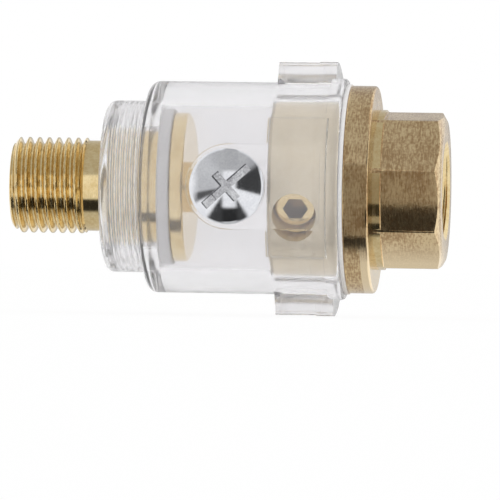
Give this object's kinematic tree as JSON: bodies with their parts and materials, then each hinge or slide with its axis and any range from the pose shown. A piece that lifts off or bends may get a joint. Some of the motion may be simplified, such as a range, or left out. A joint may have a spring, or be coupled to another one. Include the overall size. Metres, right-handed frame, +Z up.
{
  "type": "air line lubricator",
  "caption": "In-line mini oiler: clear oil bowl with filler screw between a male threaded brass outlet and a female octagon brass inlet, with an inner metering screw.",
  "frame": {"origin": "on the air line's axis at the inner end of the outlet thread", "axes": "+X along the air line from outlet to inlet, -Y out of the filler screw, +Z up"},
  "size_m": [0.0594, 0.0347, 0.0348],
  "materials": {
    "clear_plastic": "clear moulded plastic",
    "polished_brass": "bright turned brass",
    "turned_brass": "dull turned brass",
    "gasket_plastic": "translucent soft plastic",
    "plated_steel": "bright plated",
    "seal_rubber": "black rubber"
  },
  "bodies": {
    "housing": {"bowl": "clear_plastic", "outlet_nipple": "polished_brass", "outlet_gasket": "gasket_plastic", "inlet_fitting": "turned_brass", "inlet_gasket": "gasket_plastic"},
    "filler_seal": {"filler_seal": "gasket_plastic"},
    "filler_screw": {"filler_screw": "plated_steel"},
    "metering_seal": {"metering_seal": "seal_rubber"},
    "metering_screw": {"metering_screw": "turned_brass"}
  },
  "joints": [
    {"name": "filler_lift", "type": "slide", "parent": "housing", "child": "filler_seal", "axis": [0, -1, 0], "range_m": [0, 0.007]},
    {"name": "filler_turn", "type": "hinge", "parent": "filler_seal", "child": "filler_screw", "pos_m": [0.02105, -0.0164, 0], "axis": [0, -1, 0], "range_deg": [0, 2521]},
    {"name": "metering_travel", "type": "slide", "parent": "housing", "child": "metering_seal", "axis": [0, -0.9483, -0.3173], "range_m": [0, 0.002]},
    {"name": "metering_turn", "type": "hinge", "parent": "metering_seal", "child": "metering_screw", "pos_m": [0.02965, 0, 0], "axis": [0, -0.9483, -0.3173], "range_deg": [0, 721]}
  ],
  "couplings": [
    {"joint": "filler_turn", "follows": "filler_lift", "rad_per_m": 6283.2},
    {"joint": "metering_turn", "follows": "metering_travel", "rad_per_m": 6283.2}
  ]
}
